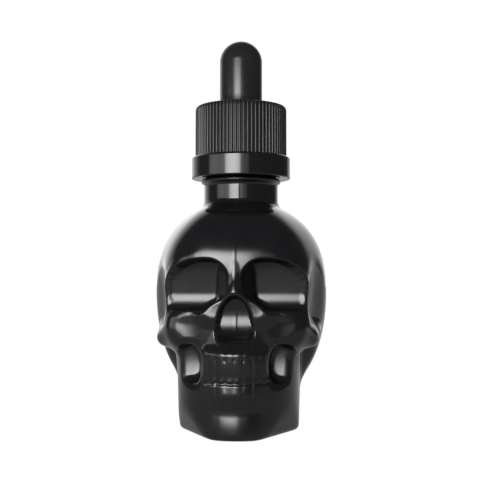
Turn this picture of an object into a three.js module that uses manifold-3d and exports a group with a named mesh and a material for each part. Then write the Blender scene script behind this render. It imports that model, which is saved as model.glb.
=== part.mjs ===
// Skull-shaped dropper bottle: a glass skull with a screw neck, closed by a child-resistant cap
// that carries a rubber bulb and a glass pipette, over a break-off ring left on the neck.
// Millimetres, +Z up, standing on z = 0 with the neck axis on Z and the face towards -Y.
import * as THREE from 'three';
import Module from 'manifold-3d';
import { mergeVertices } from 'three/addons/utils/BufferGeometryUtils.js';

const wasm = await Module();
wasm.setup();

// Glass skull, outside sizes
const SKULL_WIDTH = 41.4;
const SKULL_DEPTH = 45.8;
const SKULL_HEIGHT = 53;
const GLASS_WALL = 2.2;
const FLOOR_THICKNESS = 3.2;
const FLOOR_DISH = 0.2;
const FLOOR_ROUND = 1.5;
const PUSH_UP_RADIUS = 8;
const PUSH_UP_DEPTH = 0.7;
const PUSH_UP_SLOPE = 1;
const BASE_EDGE_ROUND = 1.2;

// Neck and its screw finish
const NECK_RADIUS = 9.05;
const NECK_LENGTH = 5;
const NECK_FILLET = 1.4;
const COLLAR_PROJECTION = 0.7;
const COLLAR_HEIGHT = 1.3;
const BEAD_SLOPE = 0.4;
const FINISH_RADIUS = 7.85;
const FINISH_HEIGHT = 9;
const GROOVE_STEP = 0.6;
const LOCK_BEAD_PROJECTION = 0.85;
const LOCK_BEAD_HEIGHT = 1.1;
const RIM_ROUND = 0.4;
const BORE_RADIUS = 5.6;
const BORE_RISE = 1;
const SHOULDER_SLOPE = 1.5;

// Screw thread shared by the neck and the inner cap, right-handed
const THREAD_DEPTH = 1;
const THREAD_PITCH = 3.175;
const THREAD_FOOT = 1.2;
const THREAD_CREST = 0.5;
const THREAD_BITE = 0.15;
const THREAD_LEAD_IN = 0.8;
const THREAD_RUN_OUT = 1.1;

// Clearances
const RUNNING_GAP = 0.3;
const SLIDE_GAP = 0.2;
const SEAT_GAP = 0.1;
const LIP_GAP = 0.25;
const TIP_CLEARANCE = 6.3;

// Break-off ring
const RING_WALL = 0.75;
const RING_CHAMFER = 1.1;
const RING_LIP = 0.2;
const RING_FOOT_BEVEL = 0.3;
const RING_SHELF = 0.6;
const HOOK_HEIGHT = 1.9;
const BRIDGE_COUNT = 8;
const BRIDGE_WIDTH = 0.7;
const BRIDGE_STUB = 0.3;

// Inner cap and the driving lugs between it and the shell
const INNER_WALL = 0.75;
const INNER_TOP_WALL = 1.1;
const LUG_COUNT = 8;
const LUG_HEIGHT = 0.8;
const LUG_GAP = 0.4;
const LUG_WIDTH = 1.6;
const LUG_LENGTH = 2.4;

// Outer shell
const SHELL_TUCK = 0.2;
const SHELL_WALL = 0.65;
const SHELL_TOP_WALL = 1.1;
const SHELL_EDGE = 0.6;
const RIB_COUNT = 72;
const RIB_DEPTH = 0.4;
const RIB_CREST_SHARE = 0.3;
const RIB_ROOT_SHARE = 0.3;

// Rubber bulb
const BULB_WALL = 1.2;
const BULB_HEIGHT = 16.25;
const FLANGE_OVERHANG = 0.4;
const FLANGE_THICKNESS = 1.05;
const GRIP_LENGTH = 6.2;
const GRIP_STEP = 0.3;

// Glass pipette
const PIPETTE_RADIUS = 3.5;
const PIPETTE_BORE = 2.4;
const PIPETTE_LIP = 0.3;
const PIPETTE_LIP_HEIGHT = 1;
const TIP_RADIUS = 1.7;
const TIP_BORE = 0.9;
const TIP_TAPER = 16;

// Facets: columns round a turned piece, and columns and rings of the skull
const TURNED_COLUMNS = 36;
const PIPETTE_COLUMNS = 24;
const SKULL_COLUMNS = 70;
const SKULL_RINGS = 50;
const CAVITY_COLUMNS = 32;
const CAVITY_RINGS = 15;
const DOME_STEPS = 6;
const TOOTH_COLUMNS = 8;
const TOOTH_ROWS = 6;
const ARCH_STEPS = 90;
const ARCH_TURN = Math.PI / 3;
const THREAD_STEPS_PER_TURN = 24;
const FACE_CROWDING = 0.6;
const SEARCH_STEPS = 100;
const SEARCH_SHARE = 0.62;
const CUT_OVERRUN = 1;
const WELD = 1e-4;
const TINY = 1e-9;

// Heights, from the base up
const boreFoot = SKULL_HEIGHT + BORE_RISE;
const collarFoot = SKULL_HEIGHT + NECK_LENGTH;
const collarTop = collarFoot + COLLAR_HEIGHT;
const ringFoot = collarTop + RUNNING_GAP;
const hookTop = ringFoot + HOOK_HEIGHT;
const lockFoot = hookTop + RUNNING_GAP;
const lockTop = lockFoot + LOCK_BEAD_HEIGHT;
const rim = lockTop + FINISH_HEIGHT;
const rebateFloor = lockTop + RING_SHELF;
const pressTravel = LUG_GAP + LUG_HEIGHT - SLIDE_GAP;
const shellFoot = rebateFloor + SLIDE_GAP + pressTravel;
const ringTop = shellFoot + SHELL_TUCK;
const skirtFoot = rebateFloor + BRIDGE_STUB + RUNNING_GAP;
const capThreadStart = skirtFoot + THREAD_LEAD_IN;
const neckThreadStart = capThreadStart + THREAD_PITCH / 2;
const threadRise = rim - THREAD_RUN_OUT - neckThreadStart;
const flangeFoot = rim + SEAT_GAP;
const flangeTop = flangeFoot + FLANGE_THICKNESS;
const innerCeiling = flangeTop + SEAT_GAP;
const innerTop = innerCeiling + INNER_TOP_WALL;
const shellCeiling = innerTop + LUG_HEIGHT + LUG_GAP + LUG_HEIGHT;
const shellTop = shellCeiling + SHELL_TOP_WALL;
const gripTop = flangeFoot + GRIP_LENGTH;
const lipFoot = gripTop + RUNNING_GAP;
const pipetteTop = lipFoot + PIPETTE_LIP_HEIGHT;
const pipetteTip = FLOOR_THICKNESS + TIP_CLEARANCE;

// Radii, from the neck out, then from the pipette out
const collarRadius = NECK_RADIUS + COLLAR_PROJECTION;
const grooveRadius = FINISH_RADIUS + GROOVE_STEP;
const lockRadius = grooveRadius + LOCK_BEAD_PROJECTION;
const hookRadius = grooveRadius + RUNNING_GAP;
const ringBore = lockRadius + RUNNING_GAP;
const threadCrest = FINISH_RADIUS + THREAD_DEPTH;
const innerBore = threadCrest + RUNNING_GAP;
const innerRadius = innerBore + INNER_WALL;
const innerThreadCrest = innerBore - THREAD_DEPTH;
const shellBore = innerRadius + SLIDE_GAP;
const ribRoot = shellBore + SHELL_WALL;
const ribCrest = ribRoot + RIB_DEPTH;
const rebateRadius = ribCrest + SLIDE_GAP;
const ringRadius = rebateRadius + RING_WALL;
const flangeRadius = FINISH_RADIUS + FLANGE_OVERHANG;
const lipRadius = PIPETTE_RADIUS + PIPETTE_LIP;
const bulbGrip = PIPETTE_RADIUS + SEAT_GAP;
const bulbHollow = lipRadius + LIP_GAP;
const bulbRadius = bulbHollow + BULB_WALL;
const bulbHole = bulbRadius + SLIDE_GAP;
const lugMiddle = (bulbHole + innerRadius) / 2;
const domeFoot = shellTop + BULB_HEIGHT - bulbRadius;

// The skull's forms are drawn on a master of this size, then stretched to the sizes above; the right
// half is mirrored, and BLEND holds the widths over which neighbouring forms run into each other
const MASTER_WIDTH = 41.4;
const MASTER_DEPTH = 45.8;
const MASTER_HEIGHT = 53;
const wide = SKULL_WIDTH / MASTER_WIDTH;
const deep = SKULL_DEPTH / MASTER_DEPTH;
const high = SKULL_HEIGHT / MASTER_HEIGHT;
const MIDLINE_ROUND = 0.14;
const EDGE_SOFTNESS = 1.2;
const BLEND = {
  forehead: 4, skullFoot: 2.5, jaw: 2, bevel: 2, muzzle: 1.6, muzzleEnds: 4, face: 2.5, chin: 1.4,
};
const FEATURE_BLEND = {
  cheek: 1.5, rods: 2, temple: 4, socket: 2, noseTop: 2, noseFloor: 2, wing: 1.6, hollow: 1.6,
};
const CRANIUM = {
  y: 1.6, z: 33.1, halfWidth: 20.7, halfDepth: 21.3, up: 20.9, down: 28, power: 2.3, foot: 10.4,
};
const FOREHEAD = {
  y: -3.4, z: 37.4, halfWidth: 17, halfDepth: 17.6, up: 15.1, down: 11.5, planPower: 3.2, power: 2.6,
};
const JAW = { y: -4.8, halfWidth: 14, widening: 0.03, halfDepth: 16.8, power: 2.5, top: 21 };
const JAW_BEVEL = { point: [12.2, -9.8, 0], normal: [0.8, -0.44, -0.41] };
const MUZZLE = { y: -11.2, halfWidth: 8.6, halfDepth: 11, foot: 6.5, top: 23 };
const UPPER_TEETH = { z: 14.8, halfHeight: 3.5, widths: [2.2, 1.9, 2, 1.8, 1.7] };
const LOWER_TEETH = { z: 9.8, halfHeight: 2.2, widths: [1.8, 1.8, 1.9, 1.9] };
const TOOTH = { spread: 0.58, halfDepth: 1.2, proud: 0.45 };
const FACE = { centre: [0, -9, 26.5], radii: [14.2, 11.6, 10] };
const CHIN = { centre: [0, -17.35, 0.4], radii: [8, 5.4, 12.5] };
const CHEEK = { centre: [9.8, -12, 24.4], radii: [7.2, 9.2, 6.8] };
const CHEEK_PLANE = { point: [10.5, -19, 25], normal: [0.14, -0.977, 0.158] };
const CHEEK_ARCH = [[12.6, -14.2, 23.6, 3], [16.2, -11, 22.8, 2.6], [17, -7, 23.2, 1.9], [17, 0, 24.5, 1]];
const EYE_RIM = [[12.4, -13, 39.8, 2.6], [13.8, -14, 34, 2.1], [14.2, -14.2, 26, 2.2]];
const TEMPLE = { centre: [22, -11, 30.8], radii: [4.4, 5, 8.4] };
const EYE_WELL = { y: -22.4, z: 33.2, depth: 7.4, up: 6.4, down: 11.2, archPower: 3, leastArch: 0.05 };
const EYE_OUTLINE = { x: 8.5, z: 34, halfWidth: 7.1, up: 7.6, down: 5.6, power: 4 };
const EYE_CORNER = { point: [4.3, 0, 30.8], normal: [-0.577, 0, -0.817] };
const NOSE_RIDGE = {
  tipY: -22.6, tipZ: 31.7, slope: 0.62, spread: 0.56, round: 1.2, foot: 30, top: 40, back: -15.5,
};
const NOSE_WING = { centre: [5.2, -17.9, 28.2], radii: [3.6, 3.2, 3.4] };
const NOSE_WING_PLANE = { point: [5.2, -20.3, 28.6], normal: [-0.05, -0.99, 0.13] };
const NOSE_WELL = { y: -24, z: 28.1, depth: 6.2, height: 9.6 };
const NOSE_OPENING = { halfWidth: 4.8, z: 23, height: 9.1, foot: 21.4 };
const CHEEK_WELL = { centre: [9.8, -24.1, 22.8], radii: [26, 8, 20.6] };
const CHEEK_HOLLOW = { x: 9.8, z: 16.2, halfWidth: 3.1, halfHeight: 4.4, power: 2.3 };

// Smooth join and smooth common part of two fields, blended over the width k
const smoothMin = (a, b, k) => {
  const h = Math.max(k - Math.abs(a - b), 0) / k;
  return Math.min(a, b) - h * h * k * 0.25;
};
const smoothMax = (a, b, k) => -smoothMin(-a, -b, k);

// Signed distance, close to the surface, from an egg shape
function egg(x, y, z, { centre, radii }) {
  const px = (x - centre[0]) / radii[0];
  const py = (y - centre[1]) / radii[1];
  const pz = (z - centre[2]) / radii[2];
  const reach = Math.hypot(px, py, pz) + TINY;
  const slope = Math.hypot(px / radii[0], py / radii[1], pz / radii[2]) + TINY;
  return reach * (reach - 1) / slope;
}

// Signed distance from a run of tapering rods through points [x, y, z, radius], blended over k
function rods(x, y, z, points, k) {
  let field = Infinity;
  for (let i = 0; i + 1 < points.length; i += 1) {
    const [ax, ay, az, ar] = points[i];
    const [bx, by, bz, br] = points[i + 1];
    const [dx, dy, dz] = [bx - ax, by - ay, bz - az];
    const along = ((x - ax) * dx + (y - ay) * dy + (z - az) * dz) / (dx * dx + dy * dy + dz * dz);
    const t = Math.min(Math.max(along, 0), 1);
    const rod = Math.hypot(x - ax - dx * t, y - ay - dy * t, z - az - dz * t) - (ar + (br - ar) * t);
    field = field === Infinity ? rod : smoothMin(field, rod, k);
  }
  return field;
}

// Distance beyond a plane given by a point on it and its outward normal
function beyond(x, y, z, { point, normal }) {
  return normal[0] * (x - point[0]) + normal[1] * (y - point[1]) + normal[2] * (z - point[2]);
}

// Distance-like value of a rounded-square outline of the given power, 0 on the outline
function roundedSquare(u, v, power) {
  return (Math.abs(u) ** power + Math.abs(v) ** power + TINY) ** (1 / power) - 1;
}

// The head without its openings, in master coordinates: negative inside the glass
function masterHead(x, side, y, z) {
  const level = Math.hypot(x / CRANIUM.halfWidth, (y - CRANIUM.y) / CRANIUM.halfDepth);
  const rise = (z - CRANIUM.z) / (z > CRANIUM.z ? CRANIUM.up : CRANIUM.down);
  let head = roundedSquare(level, rise, CRANIUM.power) * CRANIUM.halfWidth;
  head = smoothMax(head, CRANIUM.foot - z, BLEND.skullFoot);

  const browAcross = x / FOREHEAD.halfWidth;
  const browAhead = (y - FOREHEAD.y) / FOREHEAD.halfDepth;
  const browLevel = roundedSquare(browAcross, browAhead, FOREHEAD.planPower) + 1;
  const browRise = (z - FOREHEAD.z) / (z > FOREHEAD.z ? FOREHEAD.up : FOREHEAD.down);
  const brow = roundedSquare(browLevel, browRise, FOREHEAD.power) * FOREHEAD.halfWidth;
  head = smoothMin(head, brow, BLEND.forehead);

  const jawHalf = JAW.halfWidth + JAW.widening * z;
  let jaw = roundedSquare(x / jawHalf, (y - JAW.y) / JAW.halfDepth, JAW.power) * jawHalf;
  jaw = smoothMax(jaw, z - JAW.top, BLEND.jaw);
  head = smoothMin(head, jaw, BLEND.jaw);

  const arch = Math.hypot(x / MUZZLE.halfWidth, (y - MUZZLE.y) / MUZZLE.halfDepth) - 1;
  let muzzle = smoothMax(arch * MUZZLE.halfWidth, z - MUZZLE.top, BLEND.muzzleEnds);
  muzzle = smoothMax(muzzle, MUZZLE.foot - z, BLEND.muzzleEnds);
  head = smoothMin(head, muzzle, BLEND.muzzle);
  head = smoothMin(head, egg(x, y, z, FACE), BLEND.face);
  head = smoothMin(head, egg(x, y, z, CHIN), BLEND.chin);
  head = smoothMax(head, beyond(side, y, z, JAW_BEVEL), BLEND.bevel);

  let cheek = smoothMax(egg(side, y, z, CHEEK), beyond(side, y, z, CHEEK_PLANE), EDGE_SOFTNESS);
  cheek = smoothMin(cheek, rods(side, y, z, CHEEK_ARCH, FEATURE_BLEND.rods), FEATURE_BLEND.rods);
  return smoothMin(head, cheek, FEATURE_BLEND.cheek);
}

// An eye socket: a trough across the face under an arched roof, within the socket's outline, whose
// lower corner beside the nose is cut off
function eyeSocket(side, y, z) {
  const across = (side - EYE_OUTLINE.x) / EYE_OUTLINE.halfWidth;
  const archRoom = Math.max(1 - Math.abs(across) ** EYE_WELL.archPower, EYE_WELL.leastArch);
  const roof = EYE_WELL.up * archRoom ** (1 / EYE_WELL.archPower);
  const rise = (z - EYE_WELL.z) / (z > EYE_WELL.z ? roof : EYE_WELL.down);
  const well = (Math.hypot((y - EYE_WELL.y) / EYE_WELL.depth, rise) - 1) * EYE_WELL.depth;
  const along = (z - EYE_OUTLINE.z) / (z > EYE_OUTLINE.z ? EYE_OUTLINE.up : EYE_OUTLINE.down);
  const outline = roundedSquare(across, along, EYE_OUTLINE.power) * EYE_OUTLINE.down;
  const cornered = smoothMax(outline, beyond(side, y, z, EYE_CORNER), EDGE_SOFTNESS);
  return smoothMax(well, cornered, FEATURE_BLEND.socket);
}

// The bridge of the nose, a tent that leans forward down to its tip
function noseBridge(x, y, z) {
  const ridgeY = NOSE_RIDGE.tipY + NOSE_RIDGE.slope * (z - NOSE_RIDGE.tipZ);
  const across = Math.hypot(x, NOSE_RIDGE.round) - NOSE_RIDGE.round;
  let bridge = (across - NOSE_RIDGE.spread * (y - ridgeY)) / Math.hypot(1, NOSE_RIDGE.spread);
  bridge = smoothMax(bridge, z - NOSE_RIDGE.top, FEATURE_BLEND.noseTop);
  bridge = smoothMax(bridge, NOSE_RIDGE.foot - z, EDGE_SOFTNESS);
  return smoothMax(bridge, y - NOSE_RIDGE.back, EDGE_SOFTNESS);
}

// The nose opening: a trough across the face within a pointed arch
function noseOpening(side, y, z) {
  const well = Math.hypot((y - NOSE_WELL.y) / NOSE_WELL.depth, (z - NOSE_WELL.z) / NOSE_WELL.height) - 1;
  const rise = Math.max(z - NOSE_OPENING.z, 0) / NOSE_OPENING.height;
  const arch = (Math.hypot(side / NOSE_OPENING.halfWidth, rise) - 1) * NOSE_OPENING.halfWidth;
  const outline = smoothMax(arch, NOSE_OPENING.foot - z, FEATURE_BLEND.noseFloor);
  return smoothMax(well * NOSE_WELL.depth, outline, EDGE_SOFTNESS);
}

// The hollow beside the teeth: a flat scoop within an upright oval
function cheekHollow(side, y, z) {
  const across = (side - CHEEK_HOLLOW.x) / CHEEK_HOLLOW.halfWidth;
  const along = (z - CHEEK_HOLLOW.z) / CHEEK_HOLLOW.halfHeight;
  const outline = roundedSquare(across, along, CHEEK_HOLLOW.power) * CHEEK_HOLLOW.halfWidth;
  return smoothMax(egg(side, y, z, CHEEK_WELL), outline, FEATURE_BLEND.hollow);
}

// The sculpted head in master coordinates: negative inside the glass
function masterSkull(x, y, z) {
  const side = Math.hypot(x, MIDLINE_ROUND);
  let skull = masterHead(x, side, y, z);
  skull = smoothMax(skull, -egg(side, y, z, TEMPLE), FEATURE_BLEND.temple);
  skull = smoothMin(skull, rods(side, y, z, EYE_RIM, FEATURE_BLEND.rods), EDGE_SOFTNESS);
  skull = smoothMax(skull, -eyeSocket(side, y, z), FEATURE_BLEND.socket);
  skull = smoothMin(skull, noseBridge(x, y, z), EDGE_SOFTNESS);
  const wing = smoothMax(egg(side, y, z, NOSE_WING), beyond(side, y, z, NOSE_WING_PLANE), EDGE_SOFTNESS);
  skull = smoothMin(skull, wing, FEATURE_BLEND.wing);
  skull = smoothMax(skull, -noseOpening(side, y, z), EDGE_SOFTNESS);
  return smoothMax(skull, -cheekHollow(side, y, z), FEATURE_BLEND.hollow);
}

// The bottle's outside: the head at its own size, rounded off at the base and run into the neck
function glass(x, y, z) {
  const head = masterSkull(x / wide, y / deep, z / high) * Math.min(wide, deep, high);
  const based = smoothMax(head, -z, BASE_EDGE_ROUND);
  return smoothMin(based, Math.hypot(x, y) - NECK_RADIUS, NECK_FILLET);
}

// Radius of the outside at an angle and height, found from beyond the glass inwards; the standing
// ring is taken just above the base, where its edge is already rounding off
function outsideRadius(angle, z) {
  const level = Math.max(z, WELD + BASE_EDGE_ROUND / SEARCH_STEPS);
  let r = SKULL_DEPTH;
  for (let i = 0; i < SEARCH_STEPS; i += 1) {
    r -= SEARCH_SHARE * glass(r * Math.cos(angle), r * Math.sin(angle), level);
  }
  return r;
}

// Radius of the cavity, found from the axis outwards until the wall is reached
function cavityRadius(angle, z) {
  let r = 0;
  for (let i = 0; i < SEARCH_STEPS; i += 1) {
    const wall = glass(r * Math.cos(angle), r * Math.sin(angle), z) + GLASS_WALL;
    r -= SEARCH_SHARE * smoothMax(wall, FLOOR_THICKNESS - z, FLOOR_ROUND);
  }
  return Math.min(r, BORE_RADIUS + SHOULDER_SLOPE * Math.max(0, boreFoot - z));
}

// A closed solid from a geometry's positions, without the collapsed faces at a pole
function solid(geometry) {
  const bare = new THREE.BufferGeometry();
  bare.setAttribute('position', geometry.getAttribute('position'));
  if (geometry.index) bare.setIndex(geometry.index);
  const merged = mergeVertices(bare, WELD);
  const corners = [];
  for (let i = 0; i < merged.index.count; i += 3) {
    const [a, b, c] = [0, 1, 2].map((k) => merged.index.getX(i + k));
    if (a !== b && b !== c && c !== a) corners.push(a, b, c);
  }
  const vertProperties = new Float32Array(merged.getAttribute('position').array);
  const triVerts = new Uint32Array(corners);
  return new wasm.Manifold(new wasm.Mesh({ numProp: 3, vertProperties, triVerts }));
}

// A named mesh from a solid
function node(name, body, material) {
  const { vertProperties, triVerts } = body.getMesh();
  const geometry = new THREE.BufferGeometry();
  geometry.setAttribute('position', new THREE.BufferAttribute(vertProperties, 3));
  geometry.setIndex(new THREE.BufferAttribute(triVerts, 1));
  geometry.computeVertexNormals();
  const mesh = new THREE.Mesh(geometry, material);
  mesh.name = name;
  return mesh;
}

// A turned solid about Z from [radius, height] points that run upwards on the outside
function turned(profile, columns) {
  const points = profile.map(([r, z]) => new THREE.Vector2(r, z));
  const lathe = new THREE.LatheGeometry(points, columns);
  lathe.rotateX(Math.PI / 2);
  return solid(lathe);
}

const closed = (profile) => [...profile, profile[0]];

// A turned blank whose rings are then carved to a radius that depends on angle and height, each face
// split across its shorter diagonal
function carved(profile, columns, radiusAt) {
  const points = profile.map(({ r, z }) => new THREE.Vector2(r, z));
  const blank = new THREE.LatheGeometry(points, columns);
  const position = blank.getAttribute('position');
  for (let i = 0; i < position.count; i += 1) {
    const column = Math.floor(i / points.length) % columns;
    const step = (column / columns) * Math.PI * 2;
    const angle = step - FACE_CROWDING * Math.sin(step) - Math.PI / 2;
    const ring = profile[i % points.length];
    const r = ring.carve ? radiusAt(angle, ring.z) : ring.r;
    position.setXYZ(i, r * Math.cos(angle), r * Math.sin(angle), ring.z);
  }
  const corner = (i) => new THREE.Vector3().fromBufferAttribute(position, i);
  const faces = [];
  for (let column = 0; column < columns; column += 1) {
    for (let ring = 0; ring + 1 < points.length; ring += 1) {
      const a = column * points.length + ring;
      const [b, c, d] = [a + points.length, a + points.length + 1, a + 1];
      const acrossIsShorter = corner(a).distanceTo(corner(c)) < corner(b).distanceTo(corner(d));
      faces.push(...(acrossIsShorter ? [a, b, c, a, c, d] : [a, b, d, c, d, b]));
    }
  }
  blank.setIndex(faces);
  return solid(blank);
}

// A thread ridge wound round the axis, from a foot radius to a crest radius
function threadRidge(footRadius, crestRadius, startZ) {
  const bite = Math.sign(footRadius - crestRadius) * THREAD_BITE;
  const section = [
    [footRadius + bite, -THREAD_FOOT / 2],
    [crestRadius, -THREAD_CREST / 2],
    [crestRadius, THREAD_CREST / 2],
    [footRadius + bite, THREAD_FOOT / 2],
  ];
  const sides = section.length;
  const steps = Math.round((threadRise / THREAD_PITCH) * THREAD_STEPS_PER_TURN);
  const positions = [];
  for (let i = 0; i <= steps; i += 1) {
    const turn = (i / THREAD_STEPS_PER_TURN) * Math.PI * 2;
    const climb = startZ + (turn / (Math.PI * 2)) * THREAD_PITCH;
    for (const [r, z] of section) positions.push(r * Math.cos(turn), r * Math.sin(turn), climb + z);
  }
  const faces = [];
  const quad = (a, b, c, d) => faces.push(a, b, c, a, c, d);
  for (let i = 0; i < steps; i += 1) {
    for (let k = 0; k < sides; k += 1) {
      const next = (k + 1) % sides;
      quad(i * sides + k, i * sides + next, (i + 1) * sides + next, (i + 1) * sides + k);
    }
  }
  const corners = section.map((_, k) => k);
  quad(...corners.toReversed());
  quad(...corners.map((k) => steps * sides + k));
  if (crestRadius > footRadius) faces.reverse();
  const geometry = new THREE.BufferGeometry();
  geometry.setAttribute('position', new THREE.Float32BufferAttribute(positions, 3));
  geometry.setIndex(faces);
  return solid(geometry);
}

// Like blocks set round the axis, each with its middle at a radius and height
function blocksRound(count, size, radius, z, firstAngle) {
  let all = null;
  for (let i = 0; i < count; i += 1) {
    const block = new THREE.BoxGeometry(...size);
    block.translate(radius, 0, z);
    block.rotateZ(firstAngle + (i / count) * Math.PI * 2);
    const piece = solid(block);
    all = all ? all.add(piece) : piece;
  }
  return all;
}

// A row of rounded tooth crowns, set side by side on the muzzle from the mid-line out
function teeth(row) {
  const z = row.z * high;
  const arch = Array.from({ length: ARCH_STEPS }, (_, i) => {
    const turn = (i / ARCH_STEPS) * ARCH_TURN;
    const r = outsideRadius(turn - Math.PI / 2, z);
    return new THREE.Vector2(r * Math.sin(turn), -r * Math.cos(turn));
  });
  let all = null;
  let walked = 0;
  let tooth = 0;
  let toothStart = 0;
  for (let i = 1; i < ARCH_STEPS && tooth < row.widths.length; i += 1) {
    walked += arch[i].distanceTo(arch[i - 1]);
    const width = row.widths[tooth] * wide;
    if (walked < toothStart + width / 2) continue;
    const along = arch[i].clone().sub(arch[i - 1]);
    for (const side of [-1, 1]) {
      const crown = new THREE.SphereGeometry(1, TOOTH_COLUMNS, TOOTH_ROWS);
      crown.rotateX(Math.PI / 2);
      crown.scale(width * TOOTH.spread, TOOTH.halfDepth, row.halfHeight * high);
      crown.translate(0, TOOTH.halfDepth - TOOTH.proud, 0);
      crown.rotateZ(side * along.angle());
      crown.translate(side * arch[i].x, arch[i].y, z);
      const piece = solid(crown);
      all = all ? all.add(piece) : piece;
    }
    toothStart += width;
    tooth += 1;
  }
  return all;
}

// Evenly spaced heights of rings over a span
function ringHeights(from, to, count) {
  return Array.from({ length: count }, (_, i) => from + (to - from) * (i / (count - 1)));
}

// Glass bottle: carved head with its teeth, neck with collar, locking bead and thread, hollow inside
function skullBottle() {
  const evenRings = ringHeights(BASE_EDGE_ROUND, SKULL_HEIGHT + NECK_LENGTH / 2, SKULL_RINGS);
  const skullRings = [0, BASE_EDGE_ROUND / 3, ...evenRings];
  const outside = carved([
    { r: 0, z: PUSH_UP_DEPTH },
    { r: PUSH_UP_RADIUS - PUSH_UP_SLOPE, z: PUSH_UP_DEPTH },
    { r: PUSH_UP_RADIUS, z: 0 },
    ...skullRings.map((z) => ({ r: 0, z, carve: true })),
    { r: NECK_RADIUS, z: collarFoot },
    { r: collarRadius, z: collarFoot + BEAD_SLOPE },
    { r: collarRadius, z: collarTop - BEAD_SLOPE },
    { r: grooveRadius, z: collarTop },
    { r: grooveRadius, z: lockFoot },
    { r: lockRadius, z: lockFoot + BEAD_SLOPE },
    { r: lockRadius, z: lockTop - BEAD_SLOPE },
    { r: FINISH_RADIUS, z: lockTop },
    { r: FINISH_RADIUS, z: rim - RIM_ROUND },
    { r: FINISH_RADIUS - RIM_ROUND, z: rim },
    { r: 0, z: rim },
  ], SKULL_COLUMNS, outsideRadius);
  const cavityRings = ringHeights(FLOOR_THICKNESS + FLOOR_DISH, boreFoot, CAVITY_RINGS);
  const inside = carved([
    { r: 0, z: FLOOR_THICKNESS },
    ...cavityRings.map((z) => ({ r: 0, z, carve: true })),
    { r: BORE_RADIUS, z: rim + CUT_OVERRUN },
    { r: 0, z: rim + CUT_OVERRUN },
  ], CAVITY_COLUMNS, cavityRadius);
  const head = outside.add(teeth(UPPER_TEETH)).add(teeth(LOWER_TEETH));
  return head.subtract(inside).add(threadRidge(FINISH_RADIUS, threadCrest, neckThreadStart));
}

// Break-off ring: hooked under the locking bead, rebated above so that the shell can dip into it
function tamperRing() {
  const band = turned(closed([
    [ringBore, ringFoot],
    [ringRadius - RING_FOOT_BEVEL, ringFoot],
    [ringRadius, ringFoot + RING_FOOT_BEVEL],
    [ringRadius, ringTop - RING_CHAMFER],
    [rebateRadius + RING_LIP, ringTop],
    [rebateRadius, ringTop],
    [rebateRadius, rebateFloor],
    [ringBore, rebateFloor],
    [ringBore, hookTop],
    [hookRadius, hookTop],
    [hookRadius, ringFoot + (ringBore - hookRadius)],
  ]), TURNED_COLUMNS);
  const stubSize = [innerRadius - ringBore, BRIDGE_WIDTH, BRIDGE_STUB * 2];
  const stubMiddle = (innerRadius + ringBore) / 2;
  return band.add(blocksRound(BRIDGE_COUNT, stubSize, stubMiddle, rebateFloor, 0));
}

// Inner cap: threaded skirt, top wall that clamps the bulb, driven lugs on top
function innerCap() {
  const cup = turned(closed([
    [innerBore, skirtFoot],
    [innerRadius, skirtFoot],
    [innerRadius, innerTop],
    [bulbHole, innerTop],
    [bulbHole, innerCeiling],
    [innerBore, innerCeiling],
  ]), TURNED_COLUMNS);
  const lugs = blocksRound(LUG_COUNT, [LUG_LENGTH, LUG_WIDTH, LUG_HEIGHT * 2], lugMiddle, innerTop, 0);
  const ridge = threadRidge(innerBore, innerThreadCrest, capThreadStart);
  return cup.add(ridge).add(lugs);
}

// Outer shell: ribbed grip that turns the inner cap once it is pressed down
function outerCap() {
  const outline = new THREE.Shape();
  const pitch = (Math.PI * 2) / RIB_COUNT;
  for (let i = 0; i < RIB_COUNT; i += 1) {
    const middle = i * pitch;
    const corners = [
      [ribRoot, -0.5 + RIB_ROOT_SHARE / 2],
      [ribCrest, -RIB_CREST_SHARE / 2],
      [ribCrest, RIB_CREST_SHARE / 2],
      [ribRoot, 0.5 - RIB_ROOT_SHARE / 2],
    ];
    for (const [r, share] of corners) {
      const angle = middle + share * pitch;
      if (i === 0 && share === corners[0][1]) outline.moveTo(r * Math.cos(angle), r * Math.sin(angle));
      else outline.lineTo(r * Math.cos(angle), r * Math.sin(angle));
    }
  }
  outline.closePath();
  const bar = new THREE.ExtrudeGeometry(outline, { depth: shellTop - shellFoot, bevelEnabled: false });
  bar.translate(0, 0, shellFoot);
  const rounded = turned([
    [0, shellFoot - CUT_OVERRUN],
    [ribCrest + CUT_OVERRUN, shellFoot - CUT_OVERRUN],
    [ribCrest + CUT_OVERRUN, shellTop - SHELL_EDGE - CUT_OVERRUN],
    [ribCrest - SHELL_EDGE, shellTop],
    [0, shellTop],
  ], TURNED_COLUMNS);
  const hollow = turned([
    [0, shellFoot - CUT_OVERRUN],
    [shellBore, shellFoot - CUT_OVERRUN],
    [shellBore, shellCeiling],
    [bulbHole, shellCeiling],
    [bulbHole, shellTop + CUT_OVERRUN],
    [0, shellTop + CUT_OVERRUN],
  ], TURNED_COLUMNS);
  const lugSize = [LUG_LENGTH, LUG_WIDTH, LUG_HEIGHT * 2];
  const lugs = blocksRound(LUG_COUNT, lugSize, lugMiddle, shellCeiling, Math.PI / LUG_COUNT);
  return solid(bar).intersect(rounded).subtract(hollow).add(lugs);
}

// Points of a quarter circle about the axis, from its foot up to the axis or back down
function dome(radius, footZ, downwards) {
  const points = Array.from({ length: DOME_STEPS + 1 }, (_, i) => {
    const rise = (i / DOME_STEPS) * (Math.PI / 2);
    const r = i === DOME_STEPS ? 0 : radius * Math.cos(rise);
    return [r, footZ + radius * Math.sin(rise)];
  });
  return downwards ? points.reverse() : points;
}

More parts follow.
